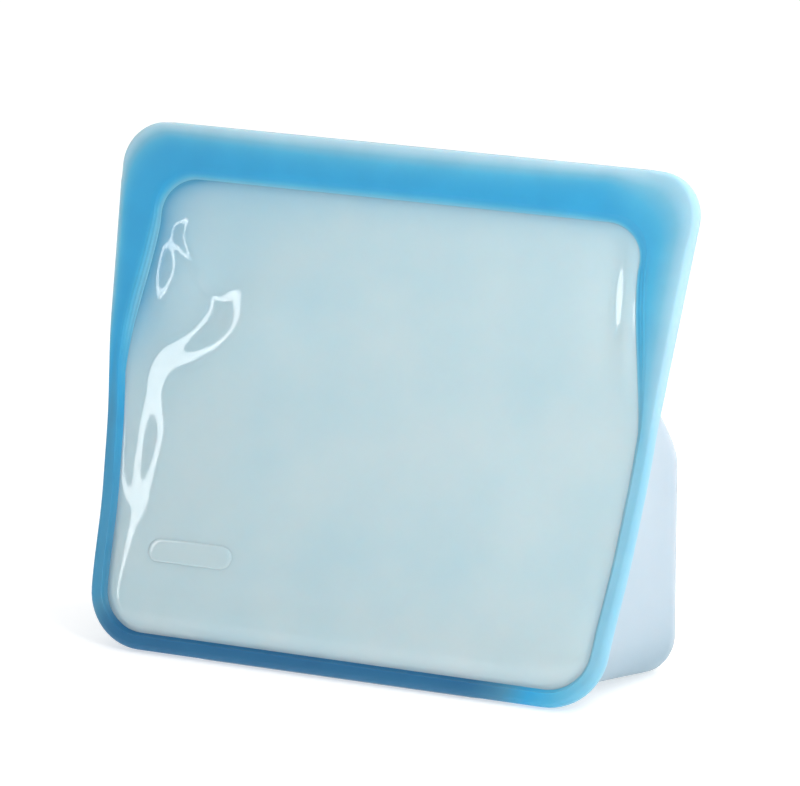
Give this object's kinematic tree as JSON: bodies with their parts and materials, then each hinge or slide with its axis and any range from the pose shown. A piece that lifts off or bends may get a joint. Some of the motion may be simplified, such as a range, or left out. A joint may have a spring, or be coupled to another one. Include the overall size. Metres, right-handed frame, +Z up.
{
  "type": "reusable silicone bag",
  "caption": "Stand-up silicone storage bag with a flat base, side gussets, a clear leaning front and a press-together seal along its mouth.",
  "frame": {"origin": "middle of the bounding box's bottom face, on the surface that the bag stands on", "axes": "+Z up, -Y out of the front window, +X along the mouth, to the right of someone who faces the front"},
  "size_m": [0.2264, 0.0717, 0.184],
  "materials": {
    "rim": "satin blue translucent silicone",
    "window": "glossy clear pale blue silicone",
    "skin": "smooth matte milky blue silicone"
  },
  "bodies": {
    "bag": {"bottom_rim": "rim", "left_rim": "rim", "right_rim": "rim", "left_rear_seam": "rim", "right_rear_seam": "rim", "left_seal_end": "rim", "right_seal_end": "rim", "front_window_lower": "window", "blank_plate": "rim", "left_gusset": "skin", "right_gusset": "skin", "base_panel": "skin", "back_wall_lower": "skin"},
    "front_mouth": {"front_window_upper": "window", "front_lip": "rim", "seal_rib": "rim"},
    "rear_mouth": {"back_wall_upper": "skin", "rear_lip": "rim", "seal_rail_upper": "rim", "seal_rail_lower": "rim"}
  },
  "joints": [
    {"name": "mouth_front", "type": "hinge", "parent": "bag", "child": "front_mouth", "pos_m": [0, -0.00606, 0.07623], "axis": [1, 0, 0], "range_deg": [0, 20], "stiffness_Nm_per_rad": 0.3},
    {"name": "mouth_rear", "type": "hinge", "parent": "bag", "child": "rear_mouth", "pos_m": [0, 0.03583, 0.079], "axis": [-1, 0, 0], "range_deg": [0, 20], "stiffness_Nm_per_rad": 0.3}
  ]
}
